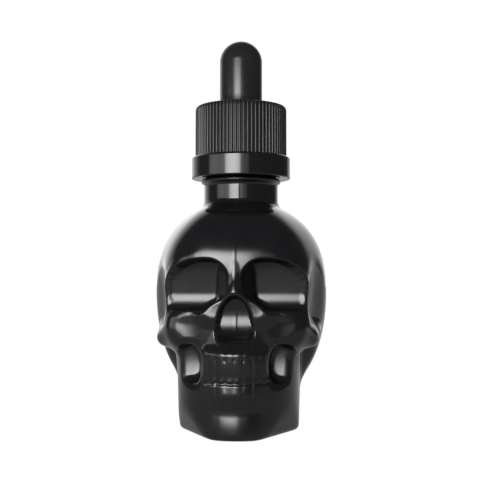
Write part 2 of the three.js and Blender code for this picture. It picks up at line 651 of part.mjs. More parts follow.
// Rubber bulb: domed teat with a flange that seals on the rim and a sleeve that grips the pipette
function bulb() {
  return turned([
    ...dome(bulbHollow, domeFoot, true),
    [bulbHollow, gripTop + GRIP_STEP],
    [bulbGrip, gripTop],
    [bulbGrip, flangeFoot],
    [flangeRadius, flangeFoot],
    [flangeRadius, flangeTop],
    [bulbRadius, flangeTop],
    ...dome(bulbRadius, domeFoot, false),
  ], TURNED_COLUMNS);
}

// Glass pipette: open tube with a lip that keeps it in the bulb and a drawn tip
function pipette() {
  return turned(closed([
    [TIP_BORE, pipetteTip],
    [TIP_RADIUS, pipetteTip],
    [PIPETTE_RADIUS, pipetteTip + TIP_TAPER],
    [PIPETTE_RADIUS, lipFoot],
    [lipRadius, lipFoot + PIPETTE_LIP],
    [lipRadius, pipetteTop - PIPETTE_LIP],
    [PIPETTE_RADIUS, pipetteTop],
    [PIPETTE_BORE, pipetteTop],
    [PIPETTE_BORE, pipetteTip + TIP_TAPER],
  ]), PIPETTE_COLUMNS);
}

const finish = (color, roughness) => new THREE.MeshStandardMaterial({ color, roughness, metalness: 0 });
const clearGlass = finish(0xdfe7ea, 0.05);
clearGlass.transparent = true;
clearGlass.opacity = 0.35;

const bottle = new THREE.Group();
bottle.add(
  node('skull_bottle', skullBottle(), finish(0x0b0b0d, 0.16)),
  node('tamper_ring', tamperRing(), finish(0x0e0e10, 0.18)),
  node('inner_cap', innerCap(), finish(0x121214, 0.4)),
  node('outer_cap', outerCap(), finish(0x131315, 0.42)),
  node('bulb', bulb(), finish(0x17171a, 0.55)),
  node('pipette', pipette(), clearGlass),
);

export default bottle;
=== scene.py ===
import math

import bmesh
import bpy
import numpy as np
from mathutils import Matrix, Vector


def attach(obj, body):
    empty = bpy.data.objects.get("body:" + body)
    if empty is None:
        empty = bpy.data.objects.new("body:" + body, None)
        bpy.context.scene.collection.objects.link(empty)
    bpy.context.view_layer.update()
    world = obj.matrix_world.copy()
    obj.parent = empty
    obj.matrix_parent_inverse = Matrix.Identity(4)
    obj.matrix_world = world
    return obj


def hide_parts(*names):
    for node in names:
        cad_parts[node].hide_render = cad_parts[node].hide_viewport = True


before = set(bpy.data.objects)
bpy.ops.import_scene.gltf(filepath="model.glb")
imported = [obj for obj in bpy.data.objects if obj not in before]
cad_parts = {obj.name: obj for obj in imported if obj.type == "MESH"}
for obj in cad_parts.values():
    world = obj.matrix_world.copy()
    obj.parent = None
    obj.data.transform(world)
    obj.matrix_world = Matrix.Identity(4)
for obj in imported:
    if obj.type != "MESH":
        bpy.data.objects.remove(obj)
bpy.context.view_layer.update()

# Skull bottle: one hollow moulding of opaque black glass, a skull that stands on its jaw and runs up
# into a screw neck. It is blown in a mould, so its edges are soft, and a fine seam runs down the
# mid-line. Its forms are in millimetres, for the right half, and are mirrored to the left.
MM = 0.001
TINY = 1e-9


def smooth_min(a, b, width):
    """Joins two forms, with a fillet over the given width where they meet."""
    share = np.maximum(width - np.abs(a - b), 0) / width
    return np.minimum(a, b) - share * share * width / 4


def smooth_max(a, b, width):
    """Keeps what two forms share, with the edge rounded over the given width."""
    return -smooth_min(-a, -b, width)


def scaled(value, middle, above, below):
    """How far a value lies from the middle, as a share of the reach on its own side."""
    return (value - middle) / np.where(value > middle, above, below)


def rounded_square(u, v, power):
    """A round outline at power 2 that gets squarer with the power: zero at reach 1."""
    return (np.abs(u) ** power + np.abs(v) ** power + TINY) ** (1 / power) - 1


def egg(x, y, z, form):
    """The distance to an egg with a centre and three radii."""
    centre, radii = form
    p = [(value - middle) / radius for value, middle, radius in zip((x, y, z), centre, radii)]
    reach = np.sqrt(p[0] ** 2 + p[1] ** 2 + p[2] ** 2) + TINY
    slope = np.sqrt(sum((value / radius) ** 2 for value, radius in zip(p, radii))) + TINY
    return reach * (reach - 1) / slope


def rods(x, y, z, points, width):
    """The distance to a chain of tapered rods through (x, y, z, radius) points."""
    field = None
    for (ax, ay, az, ar), (bx, by, bz, br) in zip(points, points[1:]):
        dx, dy, dz = bx - ax, by - ay, bz - az
        along = ((x - ax) * dx + (y - ay) * dy + (z - az) * dz) / (dx * dx + dy * dy + dz * dz)
        t = np.clip(along, 0, 1)
        gap = np.sqrt((x - ax - dx * t) ** 2 + (y - ay - dy * t) ** 2 + (z - az - dz * t) ** 2)
        rod = gap - (ar + (br - ar) * t)
        field = rod if field is None else smooth_min(field, rod, width)
    return field


def beyond(x, y, z, plane):
    """How far a place lies out past a plane with a point and a normal."""
    point, normal = plane
    return sum(n * (value - middle) for n, value, middle in zip(normal, (x, y, z), point))


# The teeth stand on the muzzle: how far they are proud of it at each height, and their widths along
# the arch from the mid-line out. The front teeth are flat but for their ends, and the gums dip between.
MUZZLE = {"y": -11.2, "half": 9.8, "deep": 11.4, "power": 2.15, "foot": 6.5, "top": 20}
MUZZLE_ARC_STEPS = 60
TEETH_RELIEF = (
    (7.6, 0), (8.8, 0.38), (11.9, 0.12), (12.3, -0.08), (12.7, -0.1), (12.85, 0.36), (13.2, 0.33),
    (14, 0.27), (17.1, 0.25), (18.2, 0.19), (18.6, 0.17), (20.4, 0.1),
)
TOOTH_WIDTHS = (2.2, 1.9, 2, 1.7, 1.6, 1.6)
TOOTH_BULGE = 0.22
FRONT_TEETH = {"reach": 4.1, "bulge": 0.6, "middle": 0.25, "ends": ((17.8, 1.2), (12.5, 1.6))}
BACK_TEETH = {"bulge": 1.5}
CROWNS = {"foot": 8, "foot_fade": 1.5, "top": 18.8, "top_fade": 1.2}
GUM_SCALLOP = {"depth": 0.3, "turns_at": 15, "fade": 2}


def teeth(x, y, z):
    """The relief of the teeth on the muzzle, and how far the gum dips between them."""
    turn = np.arctan2(np.abs(x) / MUZZLE["half"], -(y - MUZZLE["y"]) / MUZZLE["deep"])
    turns = np.linspace(0, math.pi / 2, MUZZLE_ARC_STEPS)
    lengths = np.hypot(MUZZLE["half"] * np.cos(turns), MUZZLE["deep"] * np.sin(turns))
    arc = np.interp(turn, turns, np.cumsum(lengths) * (turns[1] - turns[0]))
    edges = np.concatenate([[0], np.cumsum(TOOTH_WIDTHS)])
    tooth = np.clip(np.searchsorted(edges, arc) - 1, 0, len(TOOTH_WIDTHS) - 1)
    across = (arc - edges[tooth]) / np.array(TOOTH_WIDTHS)[tooth] * 2 - 1
    bulge = np.clip(1 - across ** 2, 0, 1) * (arc < edges[-1])
    scallop = GUM_SCALLOP["depth"] * (1 - bulge) * (arc < edges[-1])
    toward_gum = np.clip((z - GUM_SCALLOP["turns_at"]) / GUM_SCALLOP["fade"], -1, 1)
    heights, reliefs = np.array(TEETH_RELIEF).T
    relief = np.interp(z + scallop * toward_gum, heights, reliefs)
    crown = np.clip((z - CROWNS["foot"]) / CROWNS["foot_fade"], 0, 1)
    crown = crown * np.clip((CROWNS["top"] - z) / CROWNS["top_fade"], 0, 1)
    ends = sum(np.exp(-((z - middle) / width) ** 2) for middle, width in FRONT_TEETH["ends"])
    ends = FRONT_TEETH["middle"] + (1 - FRONT_TEETH["middle"]) * np.clip(ends, 0, 1)
    front = FRONT_TEETH["bulge"] * ends * TOOTH_BULGE
    roundness = np.where(arc < FRONT_TEETH["reach"], front, BACK_TEETH["bulge"] * TOOTH_BULGE)
    return relief + roundness * crown * (bulge - 1), scallop


# The head before it is carved: cranium, brow, jaw, muzzle, face, chin and cheekbones. Each blend is the
# width over which a form runs into the others.
CRANIUM = {
    "y": 1.6, "z": 33.1, "half": 20.7, "deep": 21.3, "up": 20.9, "down": 28, "power": 2.3, "foot": 10.4,
}
FOREHEAD = {
    "y": -3.4, "z": 37.8, "half": 17, "deep": 17.6, "up": 14.7, "down": 11.5, "plan_power": 3.6,
    "power": 2.6,
}
BROW_ARCH = {"from": 6, "reach": 8, "drop": 4.6}
JAW = {"y": -4.8, "half": 14, "widening": 0.03, "deep": 16.8, "power": 2.5, "top": 24.5}
JAW_BEVEL = ((12.2, -9.8, 0), (0.8, -0.44, -0.41))
JAW_NOTCH = {"side": 14.5, "top": 20.5, "back": ((14.3, -5.2, 15), (0.62, -0.775, -0.12))}
UPPER_JAW_FACET = ((5.2, -20.8, 22), (0.45, -0.857, 0.25))
FACE = ((0, -9, 26.5), (14.2, 11.6, 10))
CHIN = ((0, -17.5, -2.4), (7.6, 5.4, 13.6))
CHEEK = ((9.8, -12, 24.4), (7.2, 9.2, 6.8))
CHEEK_FACET = ((10.5, -19, 25), (0.13, -0.988, 0.08))
CHEEK_ARCH = ((12.6, -14.2, 23.6, 3), (16.2, -11, 22.8, 2.6), (17, -7, 23.2, 1.9), (17, 0, 24.5, 1))
HEAD_BLEND = {
    "cranium_foot": 2.5, "brow": 4, "jaw_top": 4, "jaw_facet": 1.5, "jaw": 2, "jaw_bevel": 0.8,
    "muzzle_top": 1.6, "muzzle_foot": 4, "muzzle": 1.2, "face": 2.5, "chin": 2, "notch_back": 0.8,
    "notch_top": 3, "notch": 0.8, "cheek_facet": 1.4, "arch_joints": 2, "cheek_arch": 2, "cheek": 1.5,
}


def head(x, side, y, z):
    """The skull before its sockets, nose and hollows are carved."""
    level = np.hypot(x / CRANIUM["half"], (y - CRANIUM["y"]) / CRANIUM["deep"])
    rise = scaled(z, CRANIUM["z"], CRANIUM["up"], CRANIUM["down"])
    skull = rounded_square(level, rise, CRANIUM["power"]) * CRANIUM["half"]
    skull = smooth_max(skull, CRANIUM["foot"] - z, HEAD_BLEND["cranium_foot"])
    forward = (y - FOREHEAD["y"]) / FOREHEAD["deep"]
    level = rounded_square(x / FOREHEAD["half"], forward, FOREHEAD["plan_power"]) + 1
    outward = (np.maximum(side - BROW_ARCH["from"], 0) / BROW_ARCH["reach"]) ** 2
    rise = z - FOREHEAD["z"] + BROW_ARCH["drop"] * outward / (1 + outward)
    rise = scaled(rise, 0, FOREHEAD["up"], FOREHEAD["down"])
    brow = rounded_square(level, rise, FOREHEAD["power"]) * FOREHEAD["half"]
    skull = smooth_min(skull, brow, HEAD_BLEND["brow"])
    jaw_half = JAW["half"] + JAW["widening"] * z
    jaw = rounded_square(x / jaw_half, (y - JAW["y"]) / JAW["deep"], JAW["power"]) * jaw_half
    jaw = smooth_max(jaw, z - JAW["top"], HEAD_BLEND["jaw_top"])
    jaw = smooth_max(jaw, beyond(side, y, z, UPPER_JAW_FACET), HEAD_BLEND["jaw_facet"])
    skull = smooth_min(skull, jaw, HEAD_BLEND["jaw"])
    arch = rounded_square(x / MUZZLE["half"], (y - MUZZLE["y"]) / MUZZLE["deep"], MUZZLE["power"])
    relief, scallop = teeth(x, y, z)
    muzzle = arch * MUZZLE["half"] - relief
    muzzle = smooth_max(muzzle, z + scallop - MUZZLE["top"], HEAD_BLEND["muzzle_top"])
    muzzle = smooth_max(muzzle, MUZZLE["foot"] - z, HEAD_BLEND["muzzle_foot"])
    skull = smooth_min(skull, muzzle, HEAD_BLEND["muzzle"])
    skull = smooth_min(skull, egg(x, y, z, FACE), HEAD_BLEND["face"])
    skull = smooth_min(skull, egg(x, y, z, CHIN), HEAD_BLEND["chin"])
    skull = smooth_max(skull, beyond(side, y, z, JAW_BEVEL), HEAD_BLEND["jaw_bevel"])
    notch = beyond(side, y, z, JAW_NOTCH["back"])
    notch = smooth_min(notch, side - JAW_NOTCH["side"], HEAD_BLEND["notch_back"])
    notch = smooth_min(notch, JAW_NOTCH["top"] - z, HEAD_BLEND["notch_top"])
    skull = smooth_max(skull, notch, HEAD_BLEND["notch"])
    cheek = smooth_max(egg(side, y, z, CHEEK), beyond(side, y, z, CHEEK_FACET), HEAD_BLEND["cheek_facet"])
    arch = rods(side, y, z, CHEEK_ARCH, HEAD_BLEND["arch_joints"])
    cheek = smooth_min(cheek, arch, HEAD_BLEND["cheek_arch"])
    return smooth_min(skull, cheek, HEAD_BLEND["cheek"])


# An eye socket is a well with an arched roof and a steep back, cut to a squarish outline with a slanted
# inner corner. A rim of bone stands outside it, and the temple falls away behind the rim.
EYE_WELL = {
    "x": 6.6, "y": -22.4, "z": 32.35, "depth": 7.4, "up": 7.5, "down": 9.2, "inner": 6, "outer": 10,
    "arch": 2.2, "least_roof": 0.05, "roof_power": 10, "bowl_power": 2, "lean": 0.08, "lean_round": 3,
    "shut": 15, "shut_slope": 0.6,
}
EYE_OUTLINE = {"x": 8.2, "z": 34, "inner": 6.8, "outer": 12, "up": 7.6, "down": 5.6, "power": 4}
EYE_CORNER = ((3.9, 0, 30.2), (-0.577, 0, -0.817))
EYE_RIM = ((12.4, -13, 39.8, 2.4), (13.8, -14, 34, 1.7), (14.2, -14.2, 26, 2))
EYE_LIP = {"rise": 0.12, "offset": 1.2, "width": 1.2, "from": 8, "fade": 3}
TEMPLE = ((22, -11, 30.8), (4.4, 5, 8.4))
EYE_BLEND = {"corner": 0.6, "outline": 1, "socket": 0.45, "rim_joints": 2, "rim": 1.2, "temple": 4}


def eye_socket(side, y, z):
    """The hollow of one eye."""
    across = scaled(side, EYE_WELL["x"], EYE_WELL["outer"], EYE_WELL["inner"])
    roof = np.clip(1 - np.abs(across) ** EYE_WELL["arch"], EYE_WELL["least_roof"], 1)
    roof = EYE_WELL["up"] * roof ** (1 / EYE_WELL["arch"])
    above = np.maximum(z - EYE_WELL["z"], 0)
    lean = EYE_WELL["lean"] * (np.hypot(above, EYE_WELL["lean_round"]) - EYE_WELL["lean_round"])
    lean = lean + EYE_WELL["shut_slope"] * np.maximum(side - EYE_WELL["shut"], 0)
    into = (y - EYE_WELL["y"] + lean) / EYE_WELL["depth"]
    rise = scaled(z, EYE_WELL["z"], roof, EYE_WELL["down"])
    under_roof = rounded_square(into, rise, EYE_WELL["roof_power"])
    bowl = rounded_square(into, rise, EYE_WELL["bowl_power"])
    well = np.where(z > EYE_WELL["z"], under_roof, bowl) * EYE_WELL["depth"]
    across = scaled(side, EYE_OUTLINE["x"], EYE_OUTLINE["outer"], EYE_OUTLINE["inner"])
    along = scaled(z, EYE_OUTLINE["z"], EYE_OUTLINE["up"], EYE_OUTLINE["down"])
    outline = rounded_square(across, along, EYE_OUTLINE["power"]) * EYE_OUTLINE["down"]
    outline = smooth_max(outline, beyond(side, y, z, EYE_CORNER), EYE_BLEND["corner"])
    return smooth_max(well, outline, EYE_BLEND["outline"])


# The nose is a bridge with a flat at its tip, a wing on each side and an arched opening below, whose
# floor slopes down to the front.
NOSE_BRIDGE = {
    "tip_y": -22.85, "tip_z": 32, "slope": 0.3, "spread": 0.56, "round": 1.2, "foot": 30, "top": 40,
    "back": -13, "half": 4.3,
}
NOSE_TIP_FACET = ((0, -22.56, 32.3), (0, -0.992, 0.125))
NOSE_WING = ((5.2, -17.9, 28.2), (3.6, 3.2, 3.4))
NOSE_WING_FACET = ((5.2, -20.3, 28.6), (-0.12, -0.983, 0.13))
NOSE_WELL = {"y": -24, "z": 27.8, "depth": 6.2, "up": 5.8, "down": 9.6}
NOSE_OPENING = {
    "half": 4.3, "z": 23, "height": 8.7, "foot": 20.5, "foot_slope": 0.67, "front": -22.2, "draft": 0.05,
}
NOSE_BLEND = {
    "top": 2, "foot": 0.6, "side": 0.6, "tip": 0.3, "back": 1, "bridge": 0.7, "wing_facet": 0.6,
    "wing_corner": 0.6, "wing": 1.6, "opening_foot": 2, "well": 0.6, "opening": 0.5,
}


def nose_bridge(x, side, y, z):
    """The ridge of the nose between the eyes, which widens towards the back."""
    ridge = NOSE_BRIDGE["tip_y"] + NOSE_BRIDGE["slope"] * (z - NOSE_BRIDGE["tip_z"])
    across = np.hypot(x, NOSE_BRIDGE["round"]) - NOSE_BRIDGE["round"]
    bridge = (across - NOSE_BRIDGE["spread"] * (y - ridge)) / math.hypot(1, NOSE_BRIDGE["spread"])
    bridge = smooth_max(bridge, z - NOSE_BRIDGE["top"], NOSE_BLEND["top"])
    bridge = smooth_max(bridge, NOSE_BRIDGE["foot"] - z, NOSE_BLEND["foot"])
    bridge = smooth_max(bridge, side - NOSE_BRIDGE["half"], NOSE_BLEND["side"])
    bridge = smooth_max(bridge, beyond(x, y, z, NOSE_TIP_FACET), NOSE_BLEND["tip"])
    return smooth_max(bridge, y - NOSE_BRIDGE["back"], NOSE_BLEND["back"])


def nose_wing(side, y, z):
    """The flat swelling beside the nose, ended by the inner corner of the eye."""
    wing = smooth_max(
        egg(side, y, z, NOSE_WING), beyond(side, y, z, NOSE_WING_FACET), NOSE_BLEND["wing_facet"]
    )
    return smooth_max(wing, -beyond(side, y, z, EYE_CORNER), NOSE_BLEND["wing_corner"])


def nose_opening(side, y, z):
    """The hollow of the nose."""
    into = (y - NOSE_WELL["y"]) / NOSE_WELL["depth"]
    well = np.hypot(into, scaled(z, NOSE_WELL["z"], NOSE_WELL["up"], NOSE_WELL["down"])) - 1
    rise = np.maximum(z - NOSE_OPENING["z"], 0) / NOSE_OPENING["height"]
    arch = (np.hypot(side / NOSE_OPENING["half"], rise) - 1) * NOSE_OPENING["half"]
    arch = arch + NOSE_OPENING["draft"] * (y - NOSE_OPENING["front"])
    foot = NOSE_OPENING["foot"] + NOSE_OPENING["foot_slope"] * (y - NOSE_OPENING["front"])
    outline = smooth_max(arch, foot - z, NOSE_BLEND["opening_foot"])
    return smooth_max(well * NOSE_WELL["depth"], outline, NOSE_BLEND["well"])


# The hollows beside the teeth, under the cheekbones.
CHEEK_WELL = ((9.5, -23.2, 21.3), (18, 8, 20.6))
CHEEK_HOLLOW = {
    "x": 10.5, "z": 16.1, "half": 2.9, "tall": 4.6, "power": 2.3, "foot": 10.6, "foot_slope": 0.5,
    "front": -19.6,
}
HOLLOW_BLEND = {"foot": 2, "well": 1, "hollow": 1.2}


def cheek_hollow(side, y, z):
    """The hollow beside the teeth, with a floor that slopes down to the front."""
    across = (side - CHEEK_HOLLOW["x"]) / CHEEK_HOLLOW["half"]
    along = (z - CHEEK_HOLLOW["z"]) / CHEEK_HOLLOW["tall"]
    outline = rounded_square(across, along, CHEEK_HOLLOW["power"]) * CHEEK_HOLLOW["half"]
    foot = CHEEK_HOLLOW["foot"] + CHEEK_HOLLOW["foot_slope"] * (y - CHEEK_HOLLOW["front"])
    outline = smooth_max(outline, foot - z, HOLLOW_BLEND["foot"])
    return smooth_max(egg(side, y, z, CHEEK_WELL), outline, HOLLOW_BLEND["well"])


MIDLINE_ROUND = 0.14
BASE_EDGE_ROUND = 1.5
NECK_RADIUS = 9.05
NECK_FILLET = 1.4


def glass(x, y, z):
    """The whole outside of the glass up to its collar: below zero in the glass, above it outside."""
    side = np.hypot(x, MIDLINE_ROUND)
    skull = head(x, side, y, z)
    skull = smooth_max(skull, -egg(side, y, z, TEMPLE), EYE_BLEND["temple"])
    rim = rods(side, y, z, EYE_RIM, EYE_BLEND["rim_joints"])
    skull = smooth_min(skull, rim, EYE_BLEND["rim"])
    socket = eye_socket(side, y, z)
    lip = EYE_LIP["rise"] * np.exp(-((socket - EYE_LIP["offset"]) / EYE_LIP["width"]) ** 2)
    lip = lip * np.clip((side - EYE_LIP["from"]) / EYE_LIP["fade"], 0, 1)
    skull = smooth_max(skull - lip, -socket, EYE_BLEND["socket"])
    skull = smooth_min(skull, nose_bridge(x, side, y, z), NOSE_BLEND["bridge"])
    skull = smooth_min(skull, nose_wing(side, y, z), NOSE_BLEND["wing"])
    skull = smooth_max(skull, -nose_opening(side, y, z), NOSE_BLEND["opening"])
    skull = smooth_max(skull, -cheek_hollow(side, y, z), HOLLOW_BLEND["hollow"])
    skull = smooth_max(skull, -z, BASE_EDGE_ROUND)
    return smooth_min(skull, np.hypot(x, y) - NECK_RADIUS, NECK_FILLET)


# The mesh has columns round the neck axis, closest together at the face, and rows whose number to the
# millimetre changes with the height. Each point is found along a level ray from the axis, and the seam
# is raised afterwards.
COLUMNS = 288
FACE_CROWDING = 0.62
ROW_DENSITY = (
    (0, 20), (1.5, 5), (5, 4.6), (34.5, 4.6), (35.5, 8), (39.5, 8), (41, 4.6), (42, 4.6), (46, 2.6),
    (50, 3.6), (53, 6), (55, 4), (57.6, 1.5),
)
DENSITY_STEPS = 4000
LOWEST_LEVEL = 0.01
SEARCH_STEPS = 72
OUTSIDE_SEARCH = {"start": 34.0, "share": 0.75}
SEAM = {"height": 0.05, "width": 0.32, "foot": 22, "foot_fade": 2}
SEAM_BREAK = {"z": 34, "half": 3, "fade": 3}
steps = np.arange(COLUMNS + 1) * (2 * math.pi / COLUMNS)
angles = steps - FACE_CROWDING * np.sin(steps) - math.pi / 2

levels = np.linspace(0, ROW_DENSITY[-1][0], DENSITY_STEPS)
rows_below = np.cumsum(np.interp(levels, *np.array(ROW_DENSITY).T)) * (levels[1] - levels[0])
row_numbers = np.linspace(rows_below[0], rows_below[-1], int(rows_below[-1]))
skull_heights = np.interp(row_numbers, rows_below, levels)
angle_grid, height_grid = np.meshgrid(angles, np.maximum(skull_heights, LOWEST_LEVEL))
outside = np.full(angle_grid.shape, OUTSIDE_SEARCH["start"])
for _ in range(SEARCH_STEPS):
    gap = glass(outside * np.cos(angle_grid), outside * np.sin(angle_grid), height_grid)
    outside -= OUTSIDE_SEARCH["share"] * gap
seam = np.exp(-(outside * np.cos(angle_grid) / SEAM["width"]) ** 2)
seam = seam * np.clip((height_grid - SEAM["foot"]) / SEAM["foot_fade"], 0, 1)
off_bridge = (np.abs(height_grid - SEAM_BREAK["z"]) - SEAM_BREAK["half"]) / SEAM_BREAK["fade"]
outside += SEAM["height"] * seam * np.clip(off_bridge, 0, 1)

# The hollow inside follows the outside at the glass's wall, and closes to the bore at the shoulder.
GLASS_WALL = 2.2
FLOOR_THICKNESS = 3.2
FLOOR_ROUND = 1.5
BORE_RADIUS = 5.6
SHOULDER_SLOPE = 1.5
CAVITY_ROWS = {"top": 54, "above_floor": 0.2, "count": 24}
INSIDE_SEARCH = {"start": 0.0, "share": 0.6}
lowest_row = FLOOR_THICKNESS + CAVITY_ROWS["above_floor"]
cavity_heights = np.linspace(CAVITY_ROWS["top"], lowest_row, CAVITY_ROWS["count"])
angle_grid, height_grid = np.meshgrid(angles, cavity_heights)
inside = np.full(angle_grid.shape, INSIDE_SEARCH["start"])
for _ in range(SEARCH_STEPS):
    wall = glass(inside * np.cos(angle_grid), inside * np.sin(angle_grid), height_grid) + GLASS_WALL
    inside -= INSIDE_SEARCH["share"] * smooth_max(wall, FLOOR_THICKNESS - height_grid, FLOOR_ROUND)
shoulder = BORE_RADIUS + SHOULDER_SLOPE * np.maximum(0, CAVITY_ROWS["top"] - height_grid)
inside = np.minimum(inside, shoulder)

# The turned stretches as (radius, height): the push-up in the base, the collar, and the finish with its
# locking bead and rim.
PUSH_UP = ((0, 0.7), (6.4, 0.7), (6.9, 0.66), (7.9, 0.06), (8.3, 0), (11, 0))
COLLAR = {"foot": 58.2, "height": 1.35, "proud": 0.7, "fullness": 0.6, "end": 0.9, "points": 12}
FINISH_RADIUS = 7.85
FINISH = (
    (8.5, 59.48), (8.45, 59.6), (8.45, 61.75), (8.6, 61.85), (9.15, 62.05), (9.3, 62.2), (9.3, 62.5),
    (9.15, 62.7), (8, 62.9), (FINISH_RADIUS, 63.1), (FINISH_RADIUS, 66), (FINISH_RADIUS, 70),
    (FINISH_RADIUS, 71.5), (7.75, 71.78), (7.5, 71.9), (5.9, 71.9), (5.65, 71.8), (BORE_RADIUS, 71.5),
    (BORE_RADIUS, 64), (BORE_RADIUS, 57),
)
collar = [
    (NECK_RADIUS + COLLAR["proud"] * math.sin(math.pi * t) ** COLLAR["fullness"],
     COLLAR["foot"] + COLLAR["height"] * t)
    for t in np.linspace(0, COLLAR["end"], COLLAR["points"])
]


def whole_rings(points):
    """The radii of rings at (radius, height) points, the same in every column, and their heights."""
    radii, heights = np.array(points, dtype=float).T
    return np.repeat(radii[:, None], COLUMNS + 1, axis=1), heights


base, base_heights = whole_rings(PUSH_UP)
neck, neck_heights = whole_rings((*collar, *FINISH))
bottom, bottom_heights = whole_rings(((0, FLOOR_THICKNESS),))
radius = np.concatenate([base, outside, neck, inside, bottom])
height = np.concatenate([base_heights, skull_heights, neck_heights, cavity_heights, bottom_heights])

MERGE_GAP = 0.001
bpy.ops.object.select_all(action="DESELECT")
bpy.ops.mesh.primitive_grid_add(x_subdivisions=COLUMNS, y_subdivisions=len(height) - 1, size=1)
skull = bpy.context.object
skull.name = "skull_glass"
places = np.empty(len(skull.data.vertices) * 3)
skull.data.vertices.foreach_get("co", places)
column = np.rint((places[0::3] + 0.5) * COLUMNS).astype(int)
row = np.rint((places[1::3] + 0.5) * (len(height) - 1)).astype(int)
places[0::3] = radius[row, column] * np.cos(angles[column]) * MM
places[1::3] = radius[row, column] * np.sin(angles[column]) * MM
places[2::3] = height[row] * MM
skull.data.vertices.foreach_set("co", places)
bpy.ops.object.mode_set(mode="EDIT")
bpy.ops.mesh.select_all(action="SELECT")
bpy.ops.mesh.remove_doubles(threshold=MERGE_GAP * MM)
bpy.ops.mesh.normals_make_consistent(inside=False)
bpy.ops.object.mode_set(mode="OBJECT")
bpy.ops.object.shade_smooth()

THREAD = {"pitch": 3.175, "turns": 1.35, "foot": 1.2, "crest": 0.5, "bite": 0.15, "steps": 90}


def thread_ridge(foot_radius, crest_radius, start_height):
    """The raised right-hand thread: a small trapezium wound up the neck by a Screw modifier."""
    outwards = crest_radius > foot_radius
    sunk_foot = foot_radius - THREAD["bite"] if outwards else foot_radius + THREAD["bite"]
    bpy.ops.object.select_all(action="DESELECT")
    bpy.ops.mesh.primitive_plane_add(size=1, rotation=(math.pi / 2, 0, 0))
    bpy.ops.object.transform_apply(rotation=True)
    ridge = bpy.context.object
    for vertex in ridge.data.vertices:
        at_foot = vertex.co.x < 0
        reach = sunk_foot if at_foot else crest_radius
        half = (THREAD["foot"] if at_foot else THREAD["crest"]) / 2
        vertex.co = (reach * MM, 0, (start_height + math.copysign(half, vertex.co.z)) * MM)
    bpy.ops.object.modifier_add(type="SCREW")
    screw = ridge.modifiers[0]
    screw.angle = 2 * math.pi * THREAD["turns"]
    screw.screw_offset = THREAD["pitch"] * THREAD["turns"] * MM
    screw.steps = screw.render_steps = THREAD["steps"]
    screw.use_smooth_shade = False
    bpy.ops.object.modifier_apply(modifier=screw.name)
    bpy.ops.object.mode_set(mode="EDIT")
    bpy.ops.mesh.select_all(action="SELECT")
    bpy.ops.mesh.fill_holes(sides=4)
    bpy.ops.mesh.select_all(action="SELECT")
    bpy.ops.mesh.normals_make_consistent(inside=False)
    bpy.ops.object.mode_set(mode="OBJECT")
    return ridge


def join(main, *others):
    """Makes several meshes one piece, named as the first."""
    bpy.ops.object.select_all(action="DESELECT")
    for piece in (main, *others):
        piece.select_set(True)
    bpy.context.view_layer.objects.active = main
    bpy.ops.object.join()


join(skull, thread_ridge(foot_radius=FINISH_RADIUS, crest_radius=8.85, start_height=66.49))


class Wire:
    """One output of a finish's nodes. Arithmetic on it adds Math nodes, and node() adds any other."""

    def __init__(self, tree, socket=None):
        self.tree = tree
        self.socket = socket

    def node(self, kind, settings, inputs, output=0):
        made = self.tree.nodes.new("ShaderNode" + kind)
        for name, value in settings.items():
            if name == "stops":
                for stop, (place, colour) in zip(made.color_ramp.elements, value):
                    stop.position = place
                    stop.color = colour
            else:
                setattr(made, name, value)
        for name, value in inputs.items():
            self.feed(made.inputs[name], value)
        return Wire(self.tree, made.outputs[output])

    def feed(self, socket, value):
        if isinstance(value, Wire):
            self.tree.links.new(value.socket, socket)
        else:
            socket.default_value = value

    def mix_colours(self, factor, first, second):
        # Inputs 6 and 7 and output 2 are the Mix node's colours, among sockets of the same names.
        return self.node("Mix", {"data_type": "RGBA"}, {"Factor": factor, 6: first, 7: second}, 2)

    def math(self, operation, *values):
        return self.node("Math", {"operation": operation}, dict(enumerate(values)))

    def __add__(self, other):
        return self.math("ADD", self, other)

    def __sub__(self, other):
        return self.math("SUBTRACT", self, other)

    def __rsub__(self, other):
        return self.math("SUBTRACT", other, self)

    def __mul__(self, other):
        return self.math("MULTIPLY", self, other)

    __radd__ = __add__
    __rmul__ = __mul__


def grain(wire, size, detail=2.0, output="Fac"):
    """Soft noise over the piece, with marks of about the given size in millimetres."""
    place = wire.node("TexCoord", {}, {}, "Object")
    noise = {"Vector": place, "Scale": 1 / (size * MM), "Detail": detail}
    return wire.node("TexNoise", {}, noise, output)


def finish(name, dark, light, mottle, roughness, bumps, **fixed):
    """A material whose colour and roughness follow a mottle, with bumps as (noise, height in mm)."""
    material = bpy.data.materials.new(name)
    material.use_nodes = True
    shader = material.node_tree.nodes["Principled BSDF"]
    wire = Wire(material.node_tree)
    mottled = mottle(wire)
    wire.feed(shader.inputs["Base Color"], wire.mix_colours(mottled, (*dark, 1), (*light, 1)))
    low, high = roughness
    wire.feed(shader.inputs["Roughness"], mottled * (high - low) + low)
    relief = sum((noise(wire) * height for noise, height in bumps), start=0.0)
    bump = wire.node("Bump", {}, {"Height": relief, "Distance": MM, "Strength": 1.0})
    wire.feed(shader.inputs["Normal"], bump)
    for socket, value in fixed.items():
        shader.inputs[socket.replace("_", " ")].default_value = value
    return material


def dress(piece, material):
    piece.data.materials.clear()
    piece.data.materials.append(material)


black_glass = finish(
    "black_glass",
    dark=(0.008, 0.008, 0.009),
    light=(0.014, 0.014, 0.016),
    mottle=lambda wire: grain(wire, 5),
    roughness=(0.13, 0.18),
    bumps=((lambda wire: grain(wire, 7, 1.0), 0.02), (lambda wire: grain(wire, 0.5), 0.0015)),
    IOR=1.52,
)
dress(skull, black_glass)
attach(skull, "bottle")
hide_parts("skull_bottle")


